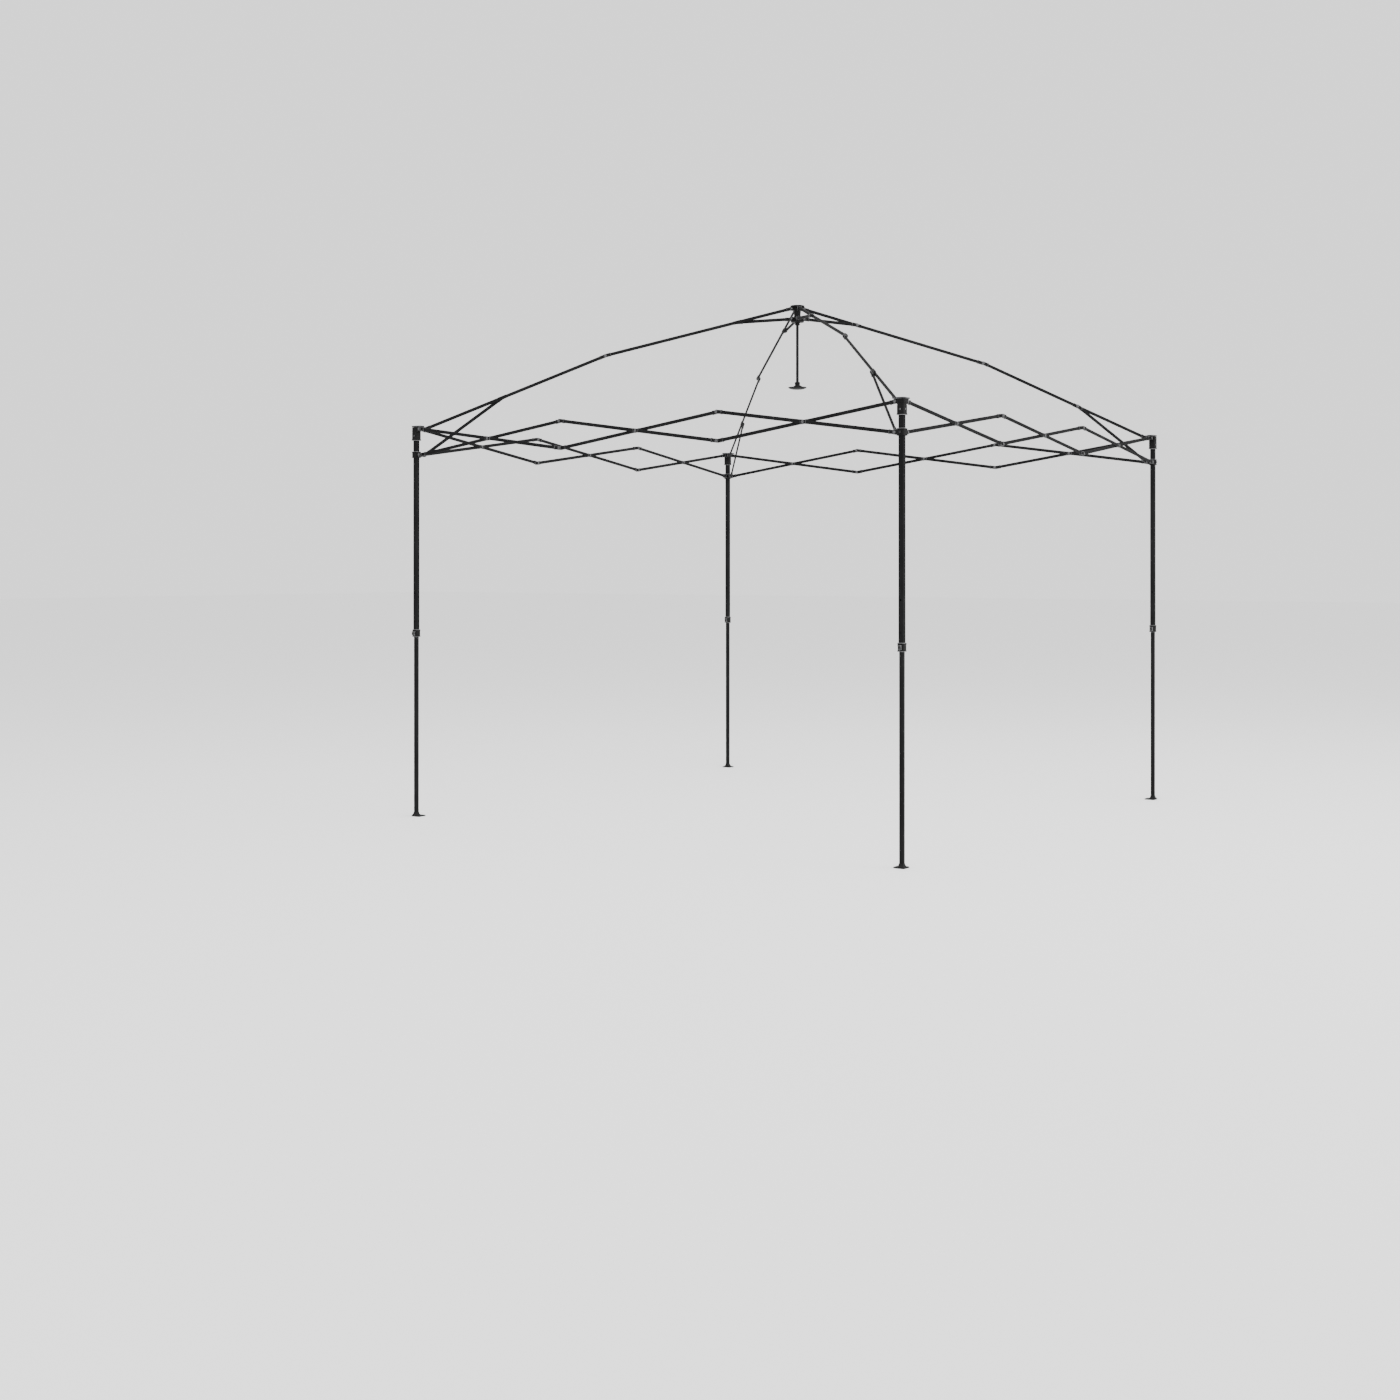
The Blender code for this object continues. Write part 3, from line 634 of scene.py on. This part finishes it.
def outer_leg_tube(place, low, high, collar_z, side, turn, number):
    """Square tube with two holes for the height lock on the button's side."""
    shell = square_post(place, [(low, LEG_HALF, LEG_ROUND), (high, LEG_HALF, LEG_ROUND)])
    hollow = LEG_HALF - LEG_WALL
    bore = square_post(place, [(low - PAST, hollow, 0.0018), (high - 0.002, hollow, 0.0018)])
    aim = side.to_track_quat("Z", "Y").to_matrix().to_4x4()
    cuts = [bore]
    for rise in HEIGHT_HOLES:
        at = Matrix.Translation(AXIS + UP * (collar_z + rise)) @ aim
        through = [(HEIGHT_HOLE_R, LEG_HALF * 0.5), (HEIGHT_HOLE_R, LEG_HALF * 1.5)]
        cuts.append(turned(through, at, 20))
    name = f"outer_leg_{number}"
    piece(f"outer_leg_tube_{number}", solid([shell], cuts), STEEL, name, turn,
          stands_for=name)


def collar(place, z, side, turn, number):
    """Plastic collar of the height lock, with the button in its pocket."""
    edge, rim, waist = (0.0162, 0.0045), (COLLAR_RIM, 0.0052), (COLLAR_HALF, 0.0048)
    levels = [(z - 0.0175, *edge), (z - 0.0168, *rim), (z - 0.0136, *rim), (z - 0.0126, *waist),
              (z + 0.0126, *waist), (z + 0.0136, *rim), (z + 0.0180, *rim), (z + 0.0190, *edge)]
    sleeve = square_post(place, levels)
    aim = place @ Matrix((side, UP.cross(side), UP)).transposed().to_4x4()
    boss = block((0.004, -0.0092, z - 0.0115), (0.0250, 0.0092, z + 0.0110), aim)
    hood = block((0.004, -0.0092, z + 0.0070), (0.0285, 0.0092, z + 0.0110), aim)
    outside = [sleeve, soften(boss, 0.0020, 3), soften(hood, 0.0013, 2)]
    clear = INNER_HALF + PLAY
    bore = square_post(place, [(z - BORE_REACH, clear, 0.0026), (z + BORE_REACH, clear, 0.0026)])
    pocket = block((0.0132, -0.0064, z - 0.0074), (0.035, 0.0064, z + 0.0068), aim)
    body = f"outer_leg_{number}"
    piece(f"leg_collar_{number}", solid(outside, [bore, pocket]), PLASTIC, body, turn)
    button = block((0.0190, -0.0060, z - 0.0070), (0.0308, 0.0060, z + 0.0062), aim)
    button = soften(button, 0.0016, 3)
    grooves = [block((0.0300, -0.0042, z + rise), (0.033, 0.0042, z + rise + 0.0011), aim)
               for rise in (-0.0044, -0.0016, 0.0012)]
    name = f"leg_lock_button_{number}"
    piece(f"lock_button_{number}", solid([button], grooves), BUTTON_PLASTIC, name, turn,
          stands_for=name)


def feet():
    """Foot plates with a stake hole, and the flared socket that holds each to its tube."""
    low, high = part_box("inner_leg_1")
    centre = Vector(((low.x + high.x) / 2, (low.y + high.y) / 2, 0))
    half = (high.x - low.x) / 2
    place = Matrix.Translation(centre)
    plate = square_post(place, [(0.0, half - 0.0012, 0.008), (0.0008, half, 0.009),
                                (0.0042, half, 0.009), (0.0050, half - 0.0010, 0.008)], steps=6)
    hole_place = Matrix.Translation(centre - RADIAL * STAKE_INSET)
    hole = turned([(STAKE_R, -PAST), (STAKE_R, PAST)], hole_place, 20)
    at_corners("foot_plate", solid([plate], [hole]), FOOT_STEEL, "inner_leg")
    flare = square_post(Matrix.Translation(AXIS), [
        (0.0045, 0.0208, 0.0070), (0.0058, 0.0206, 0.0068), (0.0072, 0.0186, 0.0060),
        (0.0100, 0.0156, 0.0048), (0.0140, 0.0130, 0.0038), (0.0185, 0.0116, 0.0032),
        (0.0215, 0.0113, 0.0030), (0.0225, 0.0104, 0.0026)])
    at_corners("foot_flare", solid([flare]), FOOT_STEEL, "inner_leg")


def sliders():
    """Sleeves that run on the legs, with a pull latch."""
    z = TRUSS_FOOT.z
    place = Matrix.Translation(AXIS)
    steps = [(0.0160, 0.0186, 0.0055), (0.0152, SLIDER_RIM, 0.0060), (0.0128, SLIDER_RIM, 0.0060),
             (0.0116, SLIDER_HALF, 0.0050)]
    levels = [(z - rise, half, corner) for rise, half, corner in steps]
    levels += [(z + rise, half, corner) for rise, half, corner in reversed(steps)]
    parts, cuts = [square_post(place, levels)], []
    highlight_ring("slider_highlight_ring", "slider", place, z + 0.0160, z + 0.0178, 0.0186)
    back_pivot = AXIS + BACK * (AXIS - TRUSS_FOOT).dot(BACK_OUT) + UP * z
    for pivot, side, sign, cheek in ((TRUSS_FOOT, OUT, 1, True), (back_pivot, BACK_OUT, -1, True),
                                     (STRUT_FOOT, ACROSS, -1, False)):
        more, holes = clevis(AXIS, pivot, side, sign, cheek)
        parts += more
        cuts += holes
    clear = LEG_HALF + PLAY
    bore = [(z - BORE_REACH, clear, LEG_ROUND), (z + BORE_REACH, clear, LEG_ROUND)]
    cuts.append(square_post(place, bore))
    at_corners("slider_sleeve", solid(parts, cuts), PLASTIC, "slider",
               stands_for="slider")
    latch_foot = Matrix.Translation(AXIS + BACK_OUT * 0.0174 + UP * z)
    latch = latch_foot @ Matrix.Rotation(math.pi / 2, 4, "Y")
    knob = turned([(0.0060, -0.002), (0.0060, 0.0012), (0.0042, 0.0018), (0.0042, 0.0032),
                   (0.0056, 0.0040), (0.0060, 0.0052), (0.0052, 0.0064), (0.0020, 0.0068)], latch, 20)
    at_corners("slider_latch", solid([knob]), BUTTON_PLASTIC, "slider")
    for name, item in (("strut", (STRUT_FOOT, ACROSS, -FACE - 2 * LANE, -0.0002)),
                       ("back_truss", (back_pivot, BACK_OUT, -LUG_OUT - PROUD, CHEEK_OUT + PROUD))):
        at_corners(f"slider_{name}_rivet", solid([rivet(*item)]), RIVET_STEEL, "slider")


def four_ways(make):
    """Parts and cuts of a moulding that looks the same after a quarter turn."""
    parts, cuts = [], []
    for quarter in range(4):
        for group, made in zip((parts, cuts), make()):
            for bm in made:
                bmesh.ops.transform(bm, matrix=Matrix.Rotation(quarter * math.pi / 2, 4, "Z"),
                                    verts=bm.verts)
                group.append(bm)
    return parts, cuts


def hub():
    """Cap and clevises at the peak."""
    z = HUB.z
    core = square_post(Matrix.Rotation(math.pi / 4, 4, "Z"), [
        (z - 0.0110, 0.0190, 0.005), (z - 0.0100, HUB_CORE_HALF, 0.006),
        (z + 0.012, HUB_CORE_HALF, 0.006)])
    cap = turned([
        (0.0362, z + 0.0098), (0.0392, z + 0.0102), (0.0400, z + 0.0116), (0.0400, z + 0.0150),
        (0.0388, z + 0.0172), (0.0350, z + 0.0184), (0.0240, z + 0.0193), (0.0080, z + 0.0199)],
        steps=48)
    rim_cut = turned([(0.0320, z + 0.0060), (0.0320, z + 0.0125)], steps=48)
    parts, cuts = four_ways(lambda: clevis(Vector(), HUB, ACROSS, -1))
    skirt = turned([(0.0150, z - 0.0108), (0.0150, z - 0.0070)], steps=24)
    body = solid([core, skirt] + parts, cuts)
    piece("hub_body", body, PLASTIC, "peak_hub", stands_for="peak_hub")
    piece("hub_cap", solid([cap], [rim_cut]), PLASTIC, "peak_hub")
    at = Matrix.Translation(UP * (z + 0.0192))
    screw = turned([(0.0050, 0), (0.0050, 0.0006), (0.0040, 0.0010)], at, 20)
    piece("hub_cap_screw", solid([screw]), RIVET_STEEL, "peak_hub")
    for quarter in range(4):
        pin = rivet(HUB, ACROSS, -LUG_OUT - PROUD, CHEEK_OUT + PROUD, washers=False)
        piece(f"hub_rivet_{quarter + 1}", solid([pin]), RIVET_STEEL, "peak_hub",
              quarter * math.pi / 2)


def runner():
    """Lower hub with its plunger, the push pole and the disc at its foot."""
    z = RUNNER.z
    core = square_post(Matrix.Rotation(math.pi / 4, 4, "Z"), [
        (z - 0.0110, 0.0190, 0.005), (z - 0.0100, HUB_CORE_HALF, 0.006),
        (z + 0.0100, HUB_CORE_HALF, 0.006), (z + 0.0110, 0.0190, 0.005)])
    plunger = turned([
        (0.0205, z + 0.0080), (0.0205, z + 0.0135), (0.0186, z + 0.0150), (0.0186, z + 0.0215),
        (0.0178, z + 0.0222), (0.0178, z + 0.0242), (0.0186, z + 0.0249), (0.0186, z + 0.0330),
        (0.0196, z + 0.0345), (0.0196, z + 0.0430), (0.0180, z + 0.0446)], steps=32)
    flange = turned([
        (0.0200, z - 0.0190), (0.0345, z - 0.0187), (0.0368, z - 0.0176), (0.0374, z - 0.0160),
        (0.0374, z - 0.0140), (0.0364, z - 0.0126), (0.0345, z - 0.0122), (0.0220, z - 0.0120),
        (0.0205, z - 0.0100)], steps=40)
    socket = turned([
        (0.0138, z - 0.0340), (0.0148, z - 0.0332), (0.0148, z - 0.0290), (0.0132, z - 0.0280),
        (0.0132, z - 0.0220), (0.0170, z - 0.0180)], steps=24)
    bore = turned([(POLE_BORE, z - 0.05), (POLE_BORE, z - 0.0108)], steps=24)
    parts, cuts = four_ways(lambda: clevis(UP * z, RUNNER, ACROSS, 1))
    body = solid([core, plunger, flange, socket] + parts, [bore] + cuts)
    piece("runner_body", body, PLASTIC, "runner", stands_for="runner")
    for quarter in range(4):
        pin = rivet(RUNNER, ACROSS, -CHEEK_OUT - PROUD, LUG_OUT + PROUD, washers=False)
        piece(f"runner_rivet_{quarter + 1}", solid([pin]), RIVET_STEEL, "runner",
              quarter * math.pi / 2)
    pole_low, pole_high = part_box("push_pole")
    tube = turned([(POLE_R, pole_low.z), (POLE_R, pole_high.z)], steps=28)
    piece("push_pole_tube", solid([tube]), STEEL, "runner", stands_for="push_pole")
    push_disc()


def push_disc():
    """Shallow saucer with a raised rim, a boss and four ribs."""
    low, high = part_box("push_disc")
    z, radius = low.z, high.x
    disc = turned([
        (0.0040, z), (0.0160, z + 0.0002), (0.0280, z + 0.0014), (0.0380, z + 0.0036),
        (0.0460, z + 0.0066), (radius - 0.0012, z + 0.0100), (radius, z + 0.0114),
        (radius, z + 0.0130), (radius - 0.0012, z + 0.0139), (radius - 0.0028, z + 0.0137),
        (0.0440, z + 0.0104), (0.0340, z + 0.0074), (0.0200, z + 0.0058)], steps=48)
    boss = turned([
        (0.0210, z + 0.0040), (0.0190, z + 0.0090), (0.0150, z + 0.0140), (0.0138, z + 0.0300),
        (0.0150, z + 0.0320), (0.0150, high.z - 0.0010), (0.0140, high.z)], steps=32)
    ribs = []
    for quarter in range(4):
        rib = Matrix.Rotation(quarter * math.pi / 2, 4, "Z")
        outline = [(0.010, z + 0.0035), (0.030, z + 0.0050), (0.041, z + 0.0080), (0.041, z + 0.0108),
                   (0.020, z + 0.0235), (0.010, z + 0.0235)]
        ribs.append(soften(prism(outline, rib, -0.0013, 0.0013), 0.0005, 1))
    bore = turned([(POLE_BORE, z + 0.0297), (POLE_BORE, high.z + PAST)], steps=28)
    piece("push_disc_body", solid([disc, boss] + ribs, [bore]), PLASTIC, "runner",
          stands_for="push_disc")


# ---------------------------------------------------------------- stage
def camera():
    """The camera at the photograph's viewpoint, level, 10.4 m from the frame's middle."""
    heading = math.radians(35.208)
    back_off, sideways, eye_height = 10.385, 0.547, 1.3617
    ahead = Vector((math.cos(heading), math.sin(heading), 0))
    right = Vector((math.sin(heading), -math.cos(heading), 0))
    data = bpy.data.cameras.new("camera")
    data.sensor_width, data.lens = 36.0, 47.54
    data.shift_y = -0.0965
    obj = bpy.data.objects.new("camera", data)
    bpy.context.scene.collection.objects.link(obj)
    position = -back_off * ahead - sideways * right + UP * eye_height
    basis = Matrix((right, UP, -ahead)).transposed().to_4x4()
    obj.matrix_world = Matrix.Translation(position) @ basis
    bpy.context.scene.camera = obj


def lamp(name, position, size, power):
    """A square soft box that faces the middle of the frame."""
    data = bpy.data.lights.new(name, "AREA")
    data.size, data.energy = size, power
    obj = bpy.data.objects.new(name, data)
    bpy.context.scene.collection.objects.link(obj)
    obj.location = position
    aim = Vector((0, 0, 1.4)) - Vector(position)
    obj.rotation_euler = aim.to_track_quat("-Z", "Y").to_euler()


def stage():
    """Pale floor, white surroundings and soft light."""
    mesh = bpy.data.meshes.new("floor")
    bm = bmesh.new()
    bmesh.ops.create_grid(bm, x_segments=1, y_segments=1, size=60)
    bm.to_mesh(mesh)
    bm.free()
    floor = new_object("floor", mesh)
    floor.location.z = -0.0005
    material = bpy.data.materials.new("floor_pale")
    material.use_nodes = True
    shader = material.node_tree.nodes["Principled BSDF"]
    shader.inputs["Base Color"].default_value = (0.95, 0.95, 0.95, 1)
    shader.inputs["Roughness"].default_value = 0.85
    mesh.materials.append(material)
    world = bpy.data.worlds.new("studio")
    world.use_nodes = True
    background = world.node_tree.nodes["Background"]
    background.inputs["Color"].default_value = (1, 1, 1, 1)
    background.inputs["Strength"].default_value = 1.5
    bpy.context.scene.world = world
    lamp("key", (1.5, -9.5, 5.5), 5.0, 560)
    lamp("fill", (-9.0, -3.0, 5.0), 6.0, 160)
    lamp("top", (-1.5, -1.5, 9.5), 6.0, 560)


camera()
stage()
trusses()
rafters()
corner_brackets()
legs()
sliders()
hub()
runner()
for material in WORK_SLOTS:
    bpy.data.materials.remove(material)
